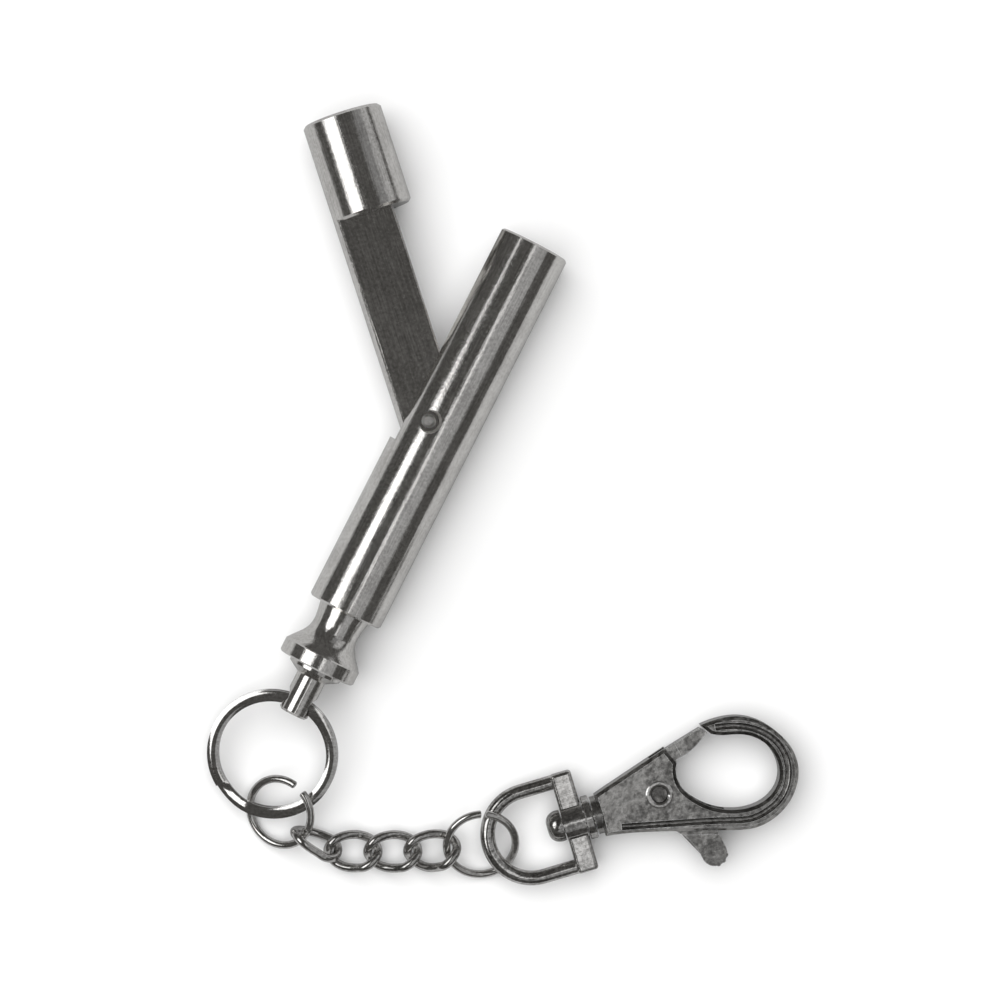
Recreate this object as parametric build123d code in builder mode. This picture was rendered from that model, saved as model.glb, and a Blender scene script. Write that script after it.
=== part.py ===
from build123d import *
import os
from math import cos, radians, sin

os.makedirs("parts", exist_ok=True)

# Driving dimensions in mm. Z = 0 is the surface the tool lies on.
axis_height = 5.2  # of the barrel, arm and knob axes
centre_shift = (0.342, 0.123)  # puts the middle of the whole layout on the origin
pivot_at = (-9.7, 9.35)  # arm pivot, seen from above
pivot_offset = 1.4  # from the barrel's axis towards its open side
barrel_angle = 63.0  # barrel axis from +X, towards its open end
arm_angle = 108.0  # arm axis from +X, with the arm half open

barrel_radius = 5.0
barrel_top = 26.3  # from the pivot, along the barrel
barrel_bottom = -26.6
slot_width = 5.4
slot_floor = -2.9  # across the barrel, from its axis
slot_end = -3.97
bore_radius = 2.8
bore_depth = 18.4

head_radius = 5.2
head_start = 27.7  # from the pivot, along the arm
head_length = 13.1
tongue_thickness = 5.2
tongue_back = -2.7  # across the arm, from its axis
tongue_end_radius = 3.85

pin_radius = 0.9
running_gap = 0.05
spigot_radius = 1.7
spigot_length = 4.9
pick_radius = 1.0

stem_radius = 1.95
stem_end = 14.75  # below the barrel
ring_hole_at = 13.0
ring_hole_radius = 1.3
ring_mean_radius = 7.72
ring_section = 1.45
coil_height = 0.64
coil_crown = 0.15
coil_pitch = 0.7
ring_drop = 10.5  # degrees the split ring dips away from the stem

swivel_at = (18.37, -39.3)
swivel_height = 2.9
swivel_angle = 16.5
bow_wire_radius = 0.95
bow_half_width = 5.65
body_thickness = 5.2
lever_thickness = 2.6
lever_slot = 2.8
tab_thickness = 3.8
gate_thickness = 4.0
pocket_height = -0.15
rivet_at = (1.6, 0.4)
rivet_radius = 1.35
rivet_web = 0.8
spring_wire = 0.36
spring_radius = 1.95


def direction(angle):
    """Level unit vector at an angle from +X."""
    return (cos(radians(angle)), sin(radians(angle)), 0)


def frame_at(point, height, angle):
    """Level frame whose x runs at an angle from +X."""
    origin = (point[0] + centre_shift[0], point[1] + centre_shift[1], height)
    return Plane(origin=origin, x_dir=direction(angle), z_dir=(0, 0, 1))


def plane_in(frame, origin=(0, 0, 0), x_dir=(1, 0, 0), z_dir=(0, 0, 1)):
    """Plane given by its origin and directions in a local frame."""
    return Plane(frame.location * Plane(origin=origin, x_dir=x_dir, z_dir=z_dir).location)


def axis_of(plane):
    """Axis along a plane's x direction."""
    return Axis(plane.origin, plane.x_dir)


def flat(plane, *outline):
    """Face inside a closed polygon."""
    with BuildSketch(plane) as sketch:
        with BuildLine():
            Polyline(*outline, close=True)
        make_face()
    return sketch.sketch


def smooth(plane, knots, *corners):
    """Face inside a spline through knots, closed by straight lines through the corners."""
    with BuildSketch(plane) as sketch:
        with BuildLine():
            Spline(*knots)
            Polyline(knots[-1], *corners, knots[0])
        make_face()
    return sketch.sketch


def disc(plane, radius):
    """Round face."""
    with BuildSketch(plane) as sketch:
        Circle(radius)
    return sketch.sketch


def block(plane, width, height):
    """Rectangular face centred on a plane's origin."""
    with BuildSketch(plane) as sketch:
        Rectangle(width, height)
    return sketch.sketch


def save(piece, name):
    """Label a piece and write its file, or stop if it isn't one solid."""
    if len(piece.part.solids()) != 1:
        raise ValueError(f"{name} is not one solid")
    piece.part.label = name
    export_step(piece.part, f"parts/{name}.step")


def offset_frame(angle):
    """Frame on the bar axis that passes beside the pivot, x along the bar, y to its open side."""
    side = direction(angle + 90)
    point = (pivot_at[0] - pivot_offset * side[0], pivot_at[1] - pivot_offset * side[1])
    return frame_at(point, axis_height, angle)


barrel_frame = offset_frame(barrel_angle)
arm_frame = offset_frame(arm_angle)
barrel_axis = axis_of(barrel_frame)
arm_axis = axis_of(arm_frame)
pivot_plane = plane_in(barrel_frame, origin=(0, pivot_offset, 0))

# Barrel: slotted bar with a counterbored cross hole for the pin and a bore from below.
with BuildPart() as barrel:
    edge = 0.25
    revolve(
        flat(
            barrel_frame,
            (barrel_bottom, 0),
            (barrel_bottom, barrel_radius - edge),
            (barrel_bottom + edge, barrel_radius),
            (barrel_top - edge, barrel_radius),
            (barrel_top, barrel_radius - edge),
            (barrel_top, 0),
        ),
        axis=barrel_axis,
    )
    slot_outline = flat(
        barrel_frame,
        (slot_end, slot_floor),
        (barrel_top + 2, slot_floor),
        (barrel_top + 2, barrel_radius + 2),
        (slot_end, barrel_radius + 2),
    )
    extrude(slot_outline, amount=slot_width / 2, both=True, mode=Mode.SUBTRACT)
    bore_mouth = plane_in(barrel_frame, origin=(barrel_bottom, 0, 0), x_dir=(0, 1, 0), z_dir=(1, 0, 0))
    extrude(disc(bore_mouth, bore_radius), amount=bore_depth, mode=Mode.SUBTRACT)
    extrude(disc(pivot_plane, pin_radius), amount=barrel_radius, both=True, mode=Mode.SUBTRACT)
    for side in (1, -1):
        pocket = plane_in(barrel_frame, origin=(0, pivot_offset, side * 4.25), z_dir=(0, 0, side))
        extrude(disc(pocket, 1.25), amount=1.5, mode=Mode.SUBTRACT)
        rim = plane_in(barrel_frame, origin=(0, pivot_offset, side * 4.5), z_dir=(0, 0, side))
        extrude(disc(rim, 1.25), amount=0.5, taper=-40, mode=Mode.SUBTRACT)
save(barrel, "barrel")

# Tongue of the swing arm: a flat-sided bar cut to its side view.
tongue_root = plane_in(arm_frame, origin=(-5, 0, 0), x_dir=(0, 1, 0), z_dir=(1, 0, 0))
near_back = pivot_offset - tongue_end_radius
near_front = pivot_offset + tongue_end_radius
with BuildPart() as tongue:
    with BuildSketch(tongue_root) as bar_section:
        Circle(head_radius)
        with Locations(((tongue_back + head_radius) / 2, 0)):
            Rectangle(head_radius - tongue_back, tongue_thickness, mode=Mode.INTERSECT)
        chamfer(bar_section.vertices(), length=0.2)
    extrude(bar_section.sketch, amount=head_start + 6)
    with BuildSketch(arm_frame) as side_view:
        with BuildLine():
            Polyline(
                (0, near_back),
                (9, tongue_back - 0.01),
                (head_start + 1, tongue_back - 0.01),
                (head_start + 1, head_radius + 0.1),
                (4, head_radius + 0.1),
                (0, near_front),
            )
            ThreePointArc((0, near_front), (-tongue_end_radius, pivot_offset), (0, near_back))
        make_face()
    extrude(
        side_view.sketch,
        amount=tongue_thickness / 2,
        both=True,
        mode=Mode.INTERSECT,
    )

# Swing arm: cylinder head and a tongue milled flat on two sides, rounded about the pivot.
with BuildPart() as swing_arm:
    edge = 0.35
    head_end = head_start + head_length
    revolve(
        flat(
            arm_frame,
            (head_start, 0),
            (head_start, head_radius - edge),
            (head_start + edge, head_radius),
            (head_end - edge, head_radius),
            (head_end, head_radius - edge),
            (head_end, 0),
        ),
        axis=arm_axis,
    )
    add(tongue.part)
    pin_hole = plane_in(arm_frame, origin=(0, pivot_offset, 0))
    extrude(
        disc(pin_hole, pin_radius + running_gap),
        amount=tongue_thickness,
        both=True,
        mode=Mode.SUBTRACT,
    )
save(swing_arm, "swing_arm")

# Pivot pin: rounded ends that stand in the barrel's counterbores.
with BuildPart() as pivot_pin:
    pin_half = 4.85
    pin_turning = plane_in(
        barrel_frame, origin=(0, pivot_offset, 0), x_dir=(0, 0, 1), z_dir=(0, 1, 0)
    )
    revolve(
        flat(
            pin_turning,
            (-pin_half, 0),
            (-pin_half, 0.55),
            (-pin_half + 0.3, pin_radius),
            (pin_half - 0.3, pin_radius),
            (pin_half, 0.55),
            (pin_half, 0),
        ),
        axis=axis_of(pin_turning),
    )
save(pivot_pin, "pivot_pin")

# End bush: lines the barrel's lower mouth.
with BuildPart() as end_bush:
    bush_inner = spigot_radius + running_gap
    revolve(
        flat(
            barrel_frame,
            (barrel_bottom, bush_inner + 0.3),
            (barrel_bottom, bore_radius),
            (barrel_bottom + 5.2, bore_radius),
            (barrel_bottom + 5.2, bush_inner),
            (barrel_bottom + 0.3, bush_inner),
        ),
        axis=barrel_axis,
    )
save(end_bush, "end_bush")


def below(distance):
    """Position along the barrel frame, a distance below the barrel's lower end."""
    return barrel_bottom - distance


# Knob: spigot, waist, flared cove, flange rim, cone and cross-drilled stem.
with BuildPart() as knob:
    cove = (
        (below(0.1), 3.45),
        (below(1.1), 3.25),
        (below(2.3), 3.1),
        (below(3.5), 3.25),
        (below(4.6), 3.85),
        (below(5.5), 4.6),
        (below(6.1), 5.05),
    )
    revolve(
        smooth(
            barrel_frame,
            cove,
            (below(6.25), head_radius),
            (below(7.9), head_radius),
            (below(8.1), head_radius - 0.2),
            (below(8.1), 3.6),
            (below(8.6), 3.5),
            (below(9.5), stem_radius),
            (below(stem_end - 0.3), stem_radius),
            (below(stem_end), stem_radius - 0.3),
            (below(stem_end), 0),
            (below(-spigot_length), 0),
            (below(-spigot_length), spigot_radius - 0.2),
            (below(-spigot_length + 0.2), spigot_radius),
            (below(0.1), spigot_radius),
        ),
        axis=barrel_axis,
    )
    ring_hole = plane_in(barrel_frame, origin=(below(ring_hole_at), 0, 0), z_dir=(0, 1, 0))
    extrude(disc(ring_hole, ring_hole_radius), amount=4, both=True, mode=Mode.SUBTRACT)
    pick_seat = plane_in(
        barrel_frame, origin=(below(-spigot_length - 1), 0, 0), x_dir=(0, 1, 0), z_dir=(-1, 0, 0)
    )
    extrude(disc(pick_seat, pick_radius), amount=9, mode=Mode.SUBTRACT)
save(knob, "knob")

# Pick: rod with a tapered, blunted tip.
with BuildPart() as pick:
    revolve(
        flat(
            barrel_frame,
            (below(3.1), 0),
            (below(3.1), pick_radius),
            (below(-11.6), pick_radius),
            (below(-16.3), 0.45),
            (below(-16.7), 0.2),
            (below(-16.7), 0),
        ),
        axis=barrel_axis,
    )
save(pick, "pick")

# Split ring: two flat turns joined by a step.
hole_centre = (below(ring_hole_at), 0, 0)
reach_x = -cos(radians(ring_drop))
reach_z = -sin(radians(ring_drop))
ring_frame = plane_in(
    barrel_frame,
    origin=(hole_centre[0] + ring_mean_radius * reach_x, 0, ring_mean_radius * reach_z),
    x_dir=(-reach_x, 0, -reach_z),
    z_dir=(reach_z, 0, -reach_x),
)
step_start = 150.0
step_sweep = 34.0


def ring_station(angle, lift):
    """Section plane of the split ring, x outward along the radius."""
    outward = direction(angle)
    return plane_in(
        ring_frame,
        origin=(ring_mean_radius * outward[0], ring_mean_radius * outward[1], lift),
        x_dir=outward,
        z_dir=direction(angle + 90),
    )


def coil_section(angle, lift):
    """Coil cross-section at an angle round the ring, crowned on its two broad faces."""
    half = ring_section / 2
    edge = coil_height / 2 - coil_crown
    with BuildSketch(ring_station(angle, lift)) as section:
        with BuildLine():
            ThreePointArc((-half, edge), (0, coil_height / 2), (half, edge))
            Line((half, edge), (half, -edge))
            ThreePointArc((half, -edge), (0, -coil_height / 2), (-half, -edge))
            Line((-half, -edge), (-half, edge))
        make_face()
    return section.sketch


ring_axis = Axis(ring_frame.origin, ring_frame.z_dir)
with BuildPart() as split_ring:
    turn = 360 - step_sweep
    revolve(coil_section(step_start, -coil_pitch / 2), axis=ring_axis, revolution_arc=-turn)
    revolve(
        coil_section(step_start + step_sweep, coil_pitch / 2),
        axis=ring_axis,
        revolution_arc=turn - 3,
    )
    stations = []
    for part_way in (0, 1, 2, 3, 4, 5, 6):
        share = part_way / 6
        rise = share * share * (3 - 2 * share)
        stations.append(
            coil_section(step_start + step_sweep * share, coil_pitch * (rise - 0.5))
        )
    loft(stations)
save(split_ring, "split_ring")


def open_ring(frame, mean_radius, wire_radius, gap_centre, gap_angle):
    """Ring of round wire with a gap and slightly rounded wire ends."""
    start = gap_centre + gap_angle / 2
    outward = direction(start)
    section = plane_in(
        frame,
        origin=(mean_radius * outward[0], mean_radius * outward[1], 0),
        x_dir=outward,
        z_dir=direction(start + 90),
    )
    with BuildPart() as ring:
        revolve(
            disc(section, wire_radius),
            axis=Axis(frame.origin, frame.z_dir),
            revolution_arc=360 - gap_angle,
        )
        ends = ring.faces().filter_by(GeomType.PLANE)
        chamfer(ends.edges(), length=0.12)
    return ring


def tilted_frame(centre, axis_angle, tilt):
    """Frame turned about a level axis, its high side 90 degrees left of that axis."""
    level = frame_at(centre, centre[2], axis_angle)
    return plane_in(level, z_dir=(0, -sin(radians(tilt)), cos(radians(tilt))))


first_ring_frame = tilted_frame((-28.97, -40.9, 2.66), -64.5, 28)
open_jump_ring = open_ring(first_ring_frame, 4.43, 0.5, 113, 17)
save(open_jump_ring, "open_jump_ring")

second_ring_frame = tilted_frame((-3.08, -45.06, 2.75), 12, 26)
end_jump_ring = open_ring(second_ring_frame, 4.45, 0.5, 75, 8)
save(end_jump_ring, "end_jump_ring")


def chain_link(centre, heading, climb, length, width, wire, twist_from, twist_to):
    """Oval wire link whose loop turns about its length from one end to the other."""
    level = frame_at(centre, centre[2], heading)
    tilt = (cos(radians(climb)), 0, sin(radians(climb)))
    frame = plane_in(level, x_dir=tilt, z_dir=(-tilt[2], 0, tilt[0]))
    half_length = (length - wire) / 2
    bend = (width - wire) / 2
    straight = half_length - bend
    knots = []
    for end in (1, -1):
        for swing in (-90, -60, -30, 0, 30, 60, 90):
            x = end * (straight + bend * cos(radians(swing)))
            y = end * bend * sin(radians(swing))
            turned = twist_from + (twist_to - twist_from) * (x + half_length) / (2 * half_length)
            knots.append((x, y * cos(radians(turned)), y * sin(radians(turned))))
    path = Spline(*[frame.from_local_coords(knot) for knot in knots], periodic=True)
    with BuildPart() as link:
        for half in (path.trim(0, 0.5), path.trim(0.5, 1)):
            sweep(disc(Plane(origin=half @ 0, z_dir=half % 0), wire / 2), path=half)
    return link


chain_link_1 = chain_link((-24.34, -44.78, 2.94), -26.3, -9.1, 7.35, 5.05, 1.1, -78.5, -47.6)
save(chain_link_1, "chain_link_1")
chain_link_2 = chain_link((-19.61, -46.03, 2.04), -1.65, 0, 7.65, 5.4, 1.16, 45, -45)
save(chain_link_2, "chain_link_2")
chain_link_3 = chain_link((-14.47, -46.06, 2.03), 0.14, 0, 7.65, 5.4, 1.16, 45, -45)
save(chain_link_3, "chain_link_3")
chain_link_4 = chain_link((-9.36, -45.96, 2.41), 6.6, 11.6, 7.65, 5.4, 1.16, 45, -45)
save(chain_link_4, "chain_link_4")

# The rest is laid out on the swivel axis: x from the bow to the nose, y across, z up.
hook_frame = frame_at(swivel_at, swivel_height, swivel_angle)
hook_axis = axis_of(hook_frame)
plate_left = -11.25
plate_right = -8.5
post_radius = 1.1

# Plate across the open end of the bow.
plate_end = plane_in(hook_frame, origin=(plate_left, 0, 0), x_dir=(0, 1, 0), z_dir=(1, 0, 0))
with BuildPart() as plate:
    extrude(block(plate_end, 2 * bow_half_width + 1.9, 2.9), amount=plate_right - plate_left)
    fillet(plate.edges(), radius=0.45)

# Swivel bow: round wire bent to a D, carried by a plate with a bored boss.
with BuildPart() as swivel_bow:
    arc_centre = -15.6
    with BuildLine():
        Polyline(
            hook_frame.from_local_coords((plate_right - 0.5, bow_half_width, 0)),
            hook_frame.from_local_coords((arc_centre, bow_half_width, 0)),
        )
        ThreePointArc(
            hook_frame.from_local_coords((arc_centre, bow_half_width, 0)),
            hook_frame.from_local_coords((arc_centre - bow_half_width, 0, 0)),
            hook_frame.from_local_coords((arc_centre, -bow_half_width, 0)),
        )
        Line(
            hook_frame.from_local_coords((arc_centre, -bow_half_width, 0)),
            hook_frame.from_local_coords((plate_right - 0.5, -bow_half_width, 0)),
        )
    wire_start = plane_in(
        hook_frame,
        origin=(plate_right - 0.5, bow_half_width, 0),
        x_dir=(0, 1, 0),
        z_dir=(-1, 0, 0),
    )
    sweep(disc(wire_start, bow_wire_radius))
    add(plate.part)
    extrude(disc(plate_end, 2.5), amount=plate_right - plate_left)
    extrude(
        disc(plate_end, post_radius + running_gap),
        amount=plate_right - plate_left,
        mode=Mode.SUBTRACT,
    )
save(swivel_bow, "swivel_bow")

# Swivel post: domed head inside the bow, shank fixed in the hook body.
with BuildPart() as swivel_post:
    dome = ((-11.4, 2.0), (-11.95, 2.05), (-12.8, 1.8), (-13.35, 1.15), (-13.45, 0.7))
    revolve(
        smooth(
            hook_frame,
            dome,
            (-13.15, 0.45),
            (-13.1, 0),
            (-4.6, 0),
            (-4.6, post_radius),
            (-11.4, post_radius),
        ),
        axis=hook_axis,
    )
save(swivel_post, "swivel_post")

with BuildPart() as swivel_washer:
    washer_inner = post_radius + running_gap
    revolve(
        flat(
            hook_frame,
            (-8.35, washer_inner),
            (-8.35, 2.7),
            (-8.2, 2.85),
            (-7.5, 2.85),
            (-7.35, 2.7),
            (-7.35, washer_inner),
        ),
        axis=hook_axis,
    )
save(swivel_washer, "swivel_washer")

# Hook body: two cheeks around the lever, a round neck and the nose loop.
rivet_plane = plane_in(hook_frame, origin=(rivet_at[0], rivet_at[1], 0))
nose_tip = (9.15, 7.4)
outer_loop = (
    nose_tip,
    (11.5, 7.55),
    (14.1, 7.15),
    (16.3, 6.0),
    (18.2, 4.0),
    (19.5, 1.5),
    (19.75, -0.9),
    (18.95, -3.3),
    (17.3, -5.3),
    (14.9, -6.7),
    (12.2, -7.2),
    (9.6, -6.75),
    (7.0, -6.0),
    (3.2, -4.95),
    (-0.6, -3.95),
    (-3.8, -3.2),
    (-6.5, -2.8),
)
opening_loop = (
    (10.12, 6.03),
    (11.5, 5.4),
    (13.6, 4.9),
    (15.5, 3.9),
    (16.8, 2.3),
    (17.35, 0.3),
    (17.1, -1.6),
    (16.1, -3.1),
    (14.4, -4.15),
    (12.2, -4.5),
    (9.8, -4.1),
    (7.5, -3.0),
    (5.7, -1.4),
    (4.5, 0.6),
    (4.4, 2.3),
    (4.85, 3.6),
)
loop_channel = (
    (10.9, 6.65),
    (12.5, 6.35),
    (14.9, 5.5),
    (16.9, 4.0),
    (18.2, 2.0),
    (18.5, -0.3),
    (17.9, -2.5),
    (16.4, -4.4),
    (14.2, -5.5),
    (12.0, -5.85),
    (9.7, -5.4),
    (7.0, -4.7),
    (3.0, -3.8),
    (-1.0, -2.9),
    (-4.2, -2.2),
)
with BuildPart() as hook_body:
    with BuildSketch(hook_frame) as body_outline:
        with BuildLine():
            Spline(*outer_loop)
            Polyline(
                outer_loop[-1],
                (-6.5, 2.6),
                (-5.0, 3.1),
                (3.9, 5.85),
                opening_loop[-1],
            )
            Spline(*opening_loop)
            Line(opening_loop[0], nose_tip)
        make_face()
    extrude(body_outline.sketch, amount=body_thickness / 2, both=True)
    flat_faces = hook_body.faces().filter_by(Axis.Z)
    chamfer(flat_faces.edges(), length=0.45)
    neck = plane_in(hook_frame, origin=(-7.2, 0, 0), x_dir=(0, 1, 0), z_dir=(1, 0, 0))
    extrude(disc(neck, 2.5), amount=2.0)
    # A rounded channel runs round both faces of the loop and along the lower edge of the cheeks.
    for side in (1, -1):
        face_height = side * body_thickness / 2
        channel = Spline(*[hook_frame.from_local_coords((x, y, face_height)) for x, y in loop_channel])
        sweep(
            disc(Plane(origin=channel @ 0, z_dir=channel % 0), 0.42),
            path=channel,
            mode=Mode.SUBTRACT,
        )
    lever_pocket = flat(
        hook_frame,
        (-1.7, -2.2),
        (-1.7, 2.6),
        (0.2, 3.9),
        (3.3, 6.6),
        (8.9, 9.5),
        (9.1, 3.0),
        (9.1, -9.0),
        (-0.9, -9.0),
        (-1.3, -4.0),
    )
    extrude(lever_pocket, amount=lever_slot / 2, both=True, mode=Mode.SUBTRACT)
    extrude(disc(rivet_plane, rivet_radius), amount=body_thickness, both=True, mode=Mode.SUBTRACT)
    post_bore = plane_in(hook_frame, origin=(-7.5, 0, 0), x_dir=(0, 1, 0), z_dir=(1, 0, 0))
    extrude(disc(post_bore, post_radius), amount=2.9, mode=Mode.SUBTRACT)
save(hook_body, "hook_body")

# Trigger lever: hub, gate up to the nose, ribbed thumb tab below the body, spring pocket on top.
with BuildPart() as trigger_lever:
    with BuildSketch(hook_frame) as lever_outline:
        with BuildLine():
            Polyline(
                (0.0, 2.9),
                (3.9, 5.7),
                (8.95, 7.08),
                (9.4, 6.6),
                (9.72, 6.2),
                (8.0, 5.0),
                (6.4, 4.3),
                (5.0, 4.0),
                (4.4, 2.2),
                (4.3, 0.6),
                (4.8, -1.6),
                (7.3, -4.8),
                (7.75, -8.4),
                (7.6, -9.5),
                (6.4, -10.3),
                (5.6, -10.3),
                (4.7, -8.9),
                (2.9, -5.4),
                (-0.9, -1.4),
                close=True,
            )
        make_face()
        with Locations(rivet_at):
            Circle(3.0)
    extrude(lever_outline.sketch, amount=lever_thickness / 2, both=True)
    tab_outline = flat(
        hook_frame,
        (3.15, -5.5),
        (7.6, -6.75),
        (7.9, -8.7),
        (4.6, -8.9),
        (4.35, -7.9),
        (3.9, -6.8),
    )
    extrude(tab_outline, amount=tab_thickness / 2, both=True)
    tab_tip = plane_in(hook_frame, origin=(6.25, -8.85, 0))
    extrude(disc(tab_tip, 1.66), amount=tab_thickness / 2, both=True)
    gate_outline = flat(
        hook_frame,
        (5.7, 4.25),
        (5.35, 6.05),
        (8.85, 6.98),
        (9.3, 6.55),
        (9.55, 6.2),
        (8.0, 5.1),
        (6.4, 4.4),
    )
    extrude(gate_outline, amount=gate_thickness / 2, both=True)
    for rib_x, rib_y in ((6.38, -10.34), (7.11, -10.08), (7.61, -9.48)):
        rib_at = plane_in(hook_frame, origin=(rib_x, rib_y, 0))
        extrude(disc(rib_at, 0.3), amount=tab_thickness / 2, both=True)
    extrude(
        disc(rivet_plane, rivet_radius + running_gap),
        amount=lever_thickness,
        both=True,
        mode=Mode.SUBTRACT,
    )
    pocket_floor = plane_in(hook_frame, origin=(rivet_at[0], rivet_at[1], pocket_height))
    extrude(disc(pocket_floor, 2.4), amount=lever_thickness, mode=Mode.SUBTRACT)
    leg_window = flat(
        plane_in(hook_frame, origin=(rivet_at[0], rivet_at[1], pocket_height)),
        (0, 0.9),
        (-4, -0.2),
        (-4, 2.7),
        (0, 2.7),
    )
    extrude(leg_window, amount=lever_thickness, mode=Mode.SUBTRACT)
    arm_groove = flat(
        plane_in(hook_frame, origin=(rivet_at[0], rivet_at[1], pocket_height)),
        (0, 1.6),
        (0, 2.3),
        (2.45, 2.3),
        (2.45, 1.6),
    )
    extrude(arm_groove, amount=lever_thickness, mode=Mode.SUBTRACT)
save(trigger_lever, "trigger_lever")

# Lever rivet: a rolled lip on each cheek, hollow from above, closed by a web low down.
with BuildPart() as lever_rivet:
    rivet_turning = plane_in(
        hook_frame, origin=(rivet_at[0], rivet_at[1], 0), x_dir=(0, 0, 1), z_dir=(0, 1, 0)
    )
    lip = body_thickness / 2
    web_start = 0.35 - lip
    revolve(
        flat(
            rivet_turning,
            (-lip, rivet_radius),
            (-lip, 1.75),
            (-lip - 0.12, 1.75),
            (-lip - 0.2, 1.6),
            (-lip - 0.2, 1.35),
            (-lip - 0.05, 1.1),
            (-lip + 0.3, 1.0),
            (web_start, 1.0),
            (web_start, 0),
            (web_start + rivet_web, 0),
            (web_start + rivet_web, 1.0),
            (lip - 0.3, 1.0),
            (lip + 0.05, 1.1),
            (lip + 0.2, 1.35),
            (lip + 0.2, 1.6),
            (lip + 0.12, 1.75),
            (lip, 1.75),
            (lip, rivet_radius),
        ),
        axis=axis_of(rivet_turning),
    )
save(lever_rivet, "lever_rivet")

# Lever spring: torsion coil round the rivet, one leg on the pocket wall, one in the lever.
with BuildPart() as lever_spring:
    spring_base = pocket_height + 0.1 + spring_wire / 2
    pitch = 0.46
    knots = [(-3.1, spring_radius, spring_base), (-1.5, spring_radius, spring_base)]
    for stop in range(0, 41):
        angle = 90 - stop * 18
        around = (spring_radius * cos(radians(angle)), spring_radius * sin(radians(angle)))
        knots.append((around[0], around[1], spring_base + pitch * stop / 20))
    knots.append((1.2, spring_radius, knots[-1][2]))
    knots.append((2.2, spring_radius, knots[-1][2]))
    with BuildLine():
        coil = Spline(*[rivet_plane.from_local_coords(knot) for knot in knots])
    sweep(disc(Plane(origin=coil @ 0, z_dir=coil % 0), spring_wire / 2), path=coil)
save(lever_spring, "lever_spring")
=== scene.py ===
import math

import bpy
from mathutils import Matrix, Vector

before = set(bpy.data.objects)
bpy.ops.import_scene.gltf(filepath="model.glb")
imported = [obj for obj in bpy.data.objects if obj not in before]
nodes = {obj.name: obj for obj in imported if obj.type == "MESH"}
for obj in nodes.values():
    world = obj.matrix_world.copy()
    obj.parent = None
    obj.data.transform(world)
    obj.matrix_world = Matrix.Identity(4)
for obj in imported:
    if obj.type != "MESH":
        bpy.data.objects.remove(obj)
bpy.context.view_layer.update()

MM = 0.001

# Directions of the pieces' long axes, in degrees from +X, as the CAD part is laid out.
BARREL_ANGLE = 63.0
ARM_ANGLE = 108.0
HOOK_ANGLE = 16.5

# Metal finish. Noise scales are in waves per metre, lengths in metres.
LINE_SCALES = (180, 5200, 5200)  # drawn lines: long along the piece, fine across it
MOTTLE_SCALE = 2600.0
MOTTLE_COARSER = 1700.0  # taken off the scale of a full casting
CLOUD_SCALE = 320.0
CLOUD_SHARE = 0.35
WAVE_SCALE = 620.0
TONE_FROM, TONE_TO = 0.54, 0.80  # noise values that take the dark and the light tone
EDGE_RADIUS = 0.14 * MM
EDGE_TONE = (0.93, 0.93, 0.92, 1.0)
# Painted shade: how far the occlusion darkening of recesses reaches, and the dark colour it
# multiplies in.
PAINTED_SHADE_REACH = 2.4 * MM
PAINTED_SHADE_TONE = (0.10, 0.095, 0.09)
WHITE = (1.0, 1.0, 1.0)

# Studio. Panel and floor sizes are in millimetres.
PANEL_HEIGHT = 200
FLOOR_HALF = 2500
FLOOR_TONE = (0.86, 0.86, 0.86, 1.0)
FLOOR_TONE_IN_METAL = (0.37, 0.37, 0.37, 1.0)
ROOM_TONE = (0.072, 0.070, 0.067, 1.0)
BACKDROP_TONE = (0.95, 0.95, 0.95, 1.0)
KEY_STRENGTH = 4.0
KEY_ANGLE = 88
KEY_DIRECTION = (0.26, -0.20, -1.0)

# Camera, straight above the tool. Sizes are in millimetres.
CAMERA_X, CAMERA_Y = -0.299, -0.582
AXIS_HEIGHT = 5.2
DISTANCE = 500.0
VIEW_WIDTH = 128.2
SENSOR_WIDTH = 36.0


# ---------------------------------------------------------------- materials
def links_of(material):
    """Empties a material or world and returns its node tree and a node maker for it."""
    material.use_nodes = True
    tree = material.node_tree
    tree.nodes.clear()

    def node(kind, **settings):
        made = tree.nodes.new(kind)
        for name, value in settings.items():
            setattr(made, name, value)
        return made

    return tree, node


def ramp(node, stops):
    """Fills a colour ramp with (position, grey or colour) stops."""
    elements = node.color_ramp.elements
    while len(elements) > 1:
        elements.remove(elements[0])
    for index, (position, value) in enumerate(stops):
        element = elements[0] if index == 0 else elements.new(position)
        element.position = position
        colour = value if isinstance(value, tuple) else (value, value, value)
        element.color = (*colour, 1.0)


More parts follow.
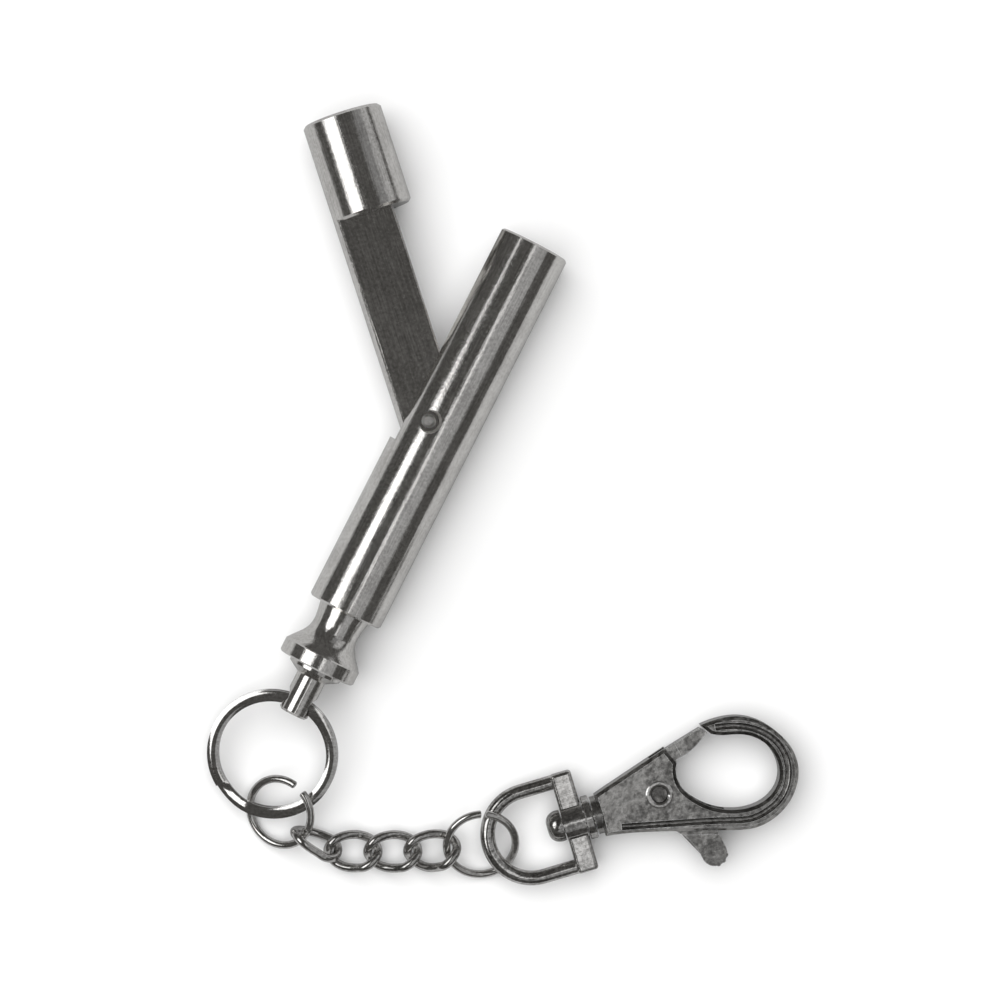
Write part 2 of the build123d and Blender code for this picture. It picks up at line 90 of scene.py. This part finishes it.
def plated_metal(name, dark, light, rough, grain_angle, grain=1.0, cast=0.0):
    """Plated metal with drawn lines, mottling, brighter edges and painted shade darkening
    its recesses.

    grain_angle is the direction of the drawn lines and grain their depth.
    cast goes from 0, drawn or turned, to 1, a rough casting.
    """
    material = bpy.data.materials.new(name)
    tree, node = links_of(material)
    link = tree.links.new
    output = node("ShaderNodeOutputMaterial")
    shader = node("ShaderNodeBsdfPrincipled")
    shader.inputs["Metallic"].default_value = 1.0
    link(shader.outputs["BSDF"], output.inputs["Surface"])

    place = node("ShaderNodeTexCoord")
    turned = node("ShaderNodeMapping", vector_type="TEXTURE")
    turned.inputs["Rotation"].default_value = (0, 0, math.radians(grain_angle))
    link(place.outputs["Object"], turned.inputs["Vector"])
    stretched = node("ShaderNodeMapping")
    stretched.inputs["Scale"].default_value = LINE_SCALES
    link(turned.outputs["Vector"], stretched.inputs["Vector"])

    lines = node("ShaderNodeTexNoise")
    lines.inputs["Scale"].default_value = 1.0
    lines.inputs["Detail"].default_value = 4.0
    link(stretched.outputs["Vector"], lines.inputs["Vector"])

    mottle = node("ShaderNodeTexNoise")
    mottle.inputs["Scale"].default_value = MOTTLE_SCALE - MOTTLE_COARSER * cast
    mottle.inputs["Detail"].default_value = 3.0
    mottle.inputs["Roughness"].default_value = 0.6
    link(place.outputs["Object"], mottle.inputs["Vector"])

    clouds = node("ShaderNodeTexNoise")
    clouds.inputs["Scale"].default_value = CLOUD_SCALE
    clouds.inputs["Detail"].default_value = 2.0
    link(place.outputs["Object"], clouds.inputs["Vector"])

    # A casting shows more mottle and less of the lines.
    mixed = node("ShaderNodeMix", data_type="FLOAT")
    mixed.inputs["Factor"].default_value = min(0.55 + 0.6 * cast, 0.9)
    link(lines.outputs["Fac"], mixed.inputs["A"])
    link(mottle.outputs["Fac"], mixed.inputs["B"])
    shade = node("ShaderNodeMath", operation="MULTIPLY_ADD")
    shade.inputs[1].default_value = CLOUD_SHARE
    link(clouds.outputs["Fac"], shade.inputs[0])
    link(mixed.outputs["Result"], shade.inputs[2])
    colour = node("ShaderNodeValToRGB")
    ramp(colour, [(TONE_FROM, dark), (TONE_TO, light)])
    link(shade.outputs["Value"], colour.inputs["Fac"])

    # Edges are where a rounded-over normal leaves the true one.
    surface = node("ShaderNodeNewGeometry")
    rounded = node("ShaderNodeBevel", samples=4)
    rounded.inputs["Radius"].default_value = EDGE_RADIUS
    alike = node("ShaderNodeVectorMath", operation="DOT_PRODUCT")
    link(surface.outputs["Normal"], alike.inputs[0])
    link(rounded.outputs["Normal"], alike.inputs[1])
    worn = node("ShaderNodeValToRGB")
    ramp(worn, [(0.93, 0.85), (0.985, 0.0)])
    link(alike.outputs["Value"], worn.inputs["Fac"])
    brightened = node("ShaderNodeMix", data_type="RGBA", blend_type="MIX")
    brightened.inputs["B"].default_value = EDGE_TONE
    link(worn.outputs["Color"], brightened.inputs["Factor"])
    link(colour.outputs["Color"], brightened.inputs["A"])

    # Painted shade: the colour is darkened by occlusion in the piece's own recesses, where
    # shade falls.
    recess = node("ShaderNodeAmbientOcclusion", samples=6, only_local=True)
    recess.inputs["Distance"].default_value = PAINTED_SHADE_REACH
    painted_shade = node("ShaderNodeValToRGB")
    ramp(painted_shade, [(0.12, PAINTED_SHADE_TONE), (0.55, WHITE)])
    link(recess.outputs["AO"], painted_shade.inputs["Fac"])
    shade_darkened = node("ShaderNodeMix", data_type="RGBA", blend_type="MULTIPLY")
    shade_darkened.inputs["Factor"].default_value = 1.0
    link(brightened.outputs["Result"], shade_darkened.inputs["A"])
    link(painted_shade.outputs["Color"], shade_darkened.inputs["B"])
    link(shade_darkened.outputs["Result"], shader.inputs["Base Color"])

    gloss = node("ShaderNodeMapRange")
    gloss.inputs["From Min"].default_value = 0.3
    gloss.inputs["From Max"].default_value = 0.7
    gloss.inputs["To Min"].default_value = rough * 0.75
    gloss.inputs["To Max"].default_value = rough * 1.4
    link(mixed.outputs["Result"], gloss.inputs["Value"])
    link(gloss.outputs["Result"], shader.inputs["Roughness"])

    # Fine unevenness of the plating, over the slow waviness of a casting polished by hand.
    waves = node("ShaderNodeTexNoise")
    waves.inputs["Scale"].default_value = WAVE_SCALE
    waves.inputs["Detail"].default_value = 2.5
    link(place.outputs["Object"], waves.inputs["Vector"])
    waviness = node("ShaderNodeBump")
    waviness.inputs["Strength"].default_value = 1.0
    waviness.inputs["Distance"].default_value = (0.004 + 0.16 * cast) * MM
    link(waves.outputs["Fac"], waviness.inputs["Height"])
    bump = node("ShaderNodeBump")
    bump.inputs["Strength"].default_value = 1.0
    bump.inputs["Distance"].default_value = (0.008 * grain + 0.008 * cast) * MM
    link(mixed.outputs["Result"], bump.inputs["Height"])
    link(waviness.outputs["Normal"], bump.inputs["Normal"])
    link(bump.outputs["Normal"], shader.inputs["Normal"])
    return material


chrome_along_barrel = plated_metal(
    "chrome_barrel", (0.68, 0.665, 0.645), (1.0, 0.985, 0.96), 0.13, BARREL_ANGLE, grain=2.0
)
chrome_along_arm = plated_metal(
    "chrome_arm", (0.64, 0.625, 0.605), (1.0, 0.985, 0.96), 0.15, ARM_ANGLE, grain=2.4
)
chrome_pin = plated_metal("chrome_pin", (0.66, 0.65, 0.63), (0.92, 0.91, 0.89), 0.42, 0)
chrome_ring = plated_metal(
    "chrome_ring", (0.60, 0.59, 0.575), (0.92, 0.91, 0.895), 0.10, 0, grain=0.6
)
# Painted shade: a darker copy of the ring's chrome, standing in for the shade between the
# crowded chain links.
chrome_chain_painted_shade = plated_metal(
    "chrome_chain_painted_shade", (0.43, 0.42, 0.41), (0.80, 0.79, 0.775), 0.12, 0, grain=0.6
)
nickel_cast = plated_metal(
    "nickel_cast", (0.20, 0.196, 0.189), (0.50, 0.493, 0.48), 0.18, HOOK_ANGLE, cast=0.6
)
nickel_bow = plated_metal(
    "nickel_bow", (0.30, 0.293, 0.283), (0.84, 0.83, 0.815), 0.14, HOOK_ANGLE, cast=0.12
)
steel_spring = plated_metal("steel_spring", (0.35, 0.35, 0.36), (0.60, 0.60, 0.61), 0.30, 0)
brass_turned = plated_metal(
    "brass_turned", (0.60, 0.44, 0.20), (0.82, 0.66, 0.36), 0.25, BARREL_ANGLE + 90
)

MATERIAL_OF = {
    "barrel": chrome_along_barrel,
    "pivot_pin": chrome_pin,
    "knob": chrome_along_barrel,
    "pick": chrome_along_barrel,
    "swing_arm": chrome_along_arm,
    "end_bush": brass_turned,
    "split_ring": chrome_ring,
    "open_jump_ring": chrome_ring,
    "end_jump_ring": chrome_ring,
    "lever_rivet": chrome_ring,
    "chain_link_1": chrome_chain_painted_shade,
    "chain_link_2": chrome_chain_painted_shade,
    "chain_link_3": chrome_chain_painted_shade,
    "chain_link_4": chrome_chain_painted_shade,
    "swivel_bow": nickel_bow,
    "swivel_post": nickel_bow,
    "swivel_washer": nickel_bow,
    "hook_body": nickel_cast,
    "trigger_lever": nickel_cast,
    "lever_spring": steel_spring,
}
for name, material in MATERIAL_OF.items():
    nodes[name].data.materials.clear()
    nodes[name].data.materials.append(material)


# ---------------------------------------------------------------- studio
def flat_mesh(name, corners, height):
    """One flat stage face through the corners (x, y) at a height, in millimetres."""
    mesh = bpy.data.meshes.new(name)
    points = [(x * MM, y * MM, height * MM) for x, y in corners]
    mesh.from_pydata(points, [], [tuple(range(len(corners)))])
    made = bpy.data.objects.new(name, mesh)
    bpy.context.scene.collection.objects.link(made)
    return made


# The floor is pale to the camera and darker in the metal's reflections.
floor_material = bpy.data.materials.new("pale_floor")
floor_tree, floor_node = links_of(floor_material)
floor_output = floor_node("ShaderNodeOutputMaterial")
floor_paper = floor_node("ShaderNodeBsdfDiffuse")
floor_paper.inputs["Color"].default_value = FLOOR_TONE
floor_in_metal = floor_node("ShaderNodeBsdfDiffuse")
floor_in_metal.inputs["Color"].default_value = FLOOR_TONE_IN_METAL
floor_mix = floor_node("ShaderNodeMixShader")
floor_path = floor_node("ShaderNodeLightPath")
floor_tree.links.new(floor_path.outputs["Is Glossy Ray"], floor_mix.inputs["Fac"])
floor_tree.links.new(floor_paper.outputs["BSDF"], floor_mix.inputs[1])
floor_tree.links.new(floor_in_metal.outputs["BSDF"], floor_mix.inputs[2])
floor_tree.links.new(floor_mix.outputs["Shader"], floor_output.inputs["Surface"])
floor_corners = [
    (-FLOOR_HALF, -FLOOR_HALF),
    (FLOOR_HALF, -FLOOR_HALF),
    (FLOOR_HALF, FLOOR_HALF),
    (-FLOOR_HALF, FLOOR_HALF),
]
floor = flat_mesh("floor", floor_corners, 0.0)
floor.data.materials.append(floor_material)

# Soft boxes hang over the tool, laid out from the arm's pivot.
# u runs from the barrel out to its open side, v down along the barrel.
BARREL_TURN = math.radians(BARREL_ANGLE)
PIVOT = Vector((-9.36, 9.47))
OUT = Vector((-math.sin(BARREL_TURN), math.cos(BARREL_TURN)))
DOWN = Vector((-math.cos(BARREL_TURN), -math.sin(BARREL_TURN)))


def soft_box(name, corners, strength):
    """An even light panel, seen in the metal but not by the camera."""
    level_corners = [tuple(PIVOT + OUT * u + DOWN * v) for u, v in corners]
    panel = flat_mesh(name, level_corners, PANEL_HEIGHT)
    material = bpy.data.materials.new(name)
    tree, node = links_of(material)
    output = node("ShaderNodeOutputMaterial")
    glow = node("ShaderNodeEmission")
    glow.inputs["Strength"].default_value = strength
    tree.links.new(glow.outputs["Emission"], output.inputs["Surface"])
    panel.data.materials.append(material)
    panel.visible_camera = False
    panel.visible_shadow = False
    panel.visible_diffuse = False


soft_box("box_left", [(88, -6), (200, -6), (262, 190), (60, 190), (52, 40), (88, 38)], 1.7)
soft_box("box_left_strip", [(128, -64), (150, -64), (158, -7), (122, -7)], 0.95)
soft_box("box_top", [(-35, -44), (-58, -44), (-58, 90), (-35, 90)], 0.95)
soft_box("box_right", [(-62, -90), (-262, -90), (-262, 200), (-62, 200)], 0.31)
soft_box("box_head_near", [(-40, -92), (-150, -92), (-150, -300), (-40, -300)], 0.20)
soft_box("box_head_far", [(-152, -92), (-700, -230), (-700, -900), (-152, -560)], 0.38)

# The world is a dim room with a pale backdrop that only the camera sees.
world = bpy.data.worlds.new("studio")
bpy.context.scene.world = world
world_tree, world_node = links_of(world)
world_output = world_node("ShaderNodeOutputWorld")
world_mix = world_node("ShaderNodeMixShader")
room = world_node("ShaderNodeBackground")
room.inputs["Color"].default_value = ROOM_TONE
backdrop = world_node("ShaderNodeBackground")
backdrop.inputs["Color"].default_value = BACKDROP_TONE
world_path = world_node("ShaderNodeLightPath")
world_tree.links.new(world_path.outputs["Is Camera Ray"], world_mix.inputs["Fac"])
world_tree.links.new(room.outputs["Background"], world_mix.inputs[1])
world_tree.links.new(backdrop.outputs["Background"], world_mix.inputs[2])
world_tree.links.new(world_mix.outputs["Shader"], world_output.inputs["Surface"])

key = bpy.data.objects.new("key", bpy.data.lights.new("key", "SUN"))
key.data.energy = KEY_STRENGTH
key.data.angle = math.radians(KEY_ANGLE)
key.visible_glossy = False
key.rotation_euler = Vector(KEY_DIRECTION).to_track_quat("-Z", "Y").to_euler()
bpy.context.scene.collection.objects.link(key)

# ---------------------------------------------------------------- camera
camera = bpy.data.objects.new("camera", bpy.data.cameras.new("camera"))
camera.location = (CAMERA_X * MM, CAMERA_Y * MM, (AXIS_HEIGHT + DISTANCE) * MM)
camera.data.sensor_width = SENSOR_WIDTH
camera.data.lens = SENSOR_WIDTH * DISTANCE / VIEW_WIDTH
camera.data.clip_start = 0.01
camera.data.clip_end = 50.0
bpy.context.scene.collection.objects.link(camera)
bpy.context.scene.camera = camera
bpy.context.scene.view_settings.view_transform = "Standard"
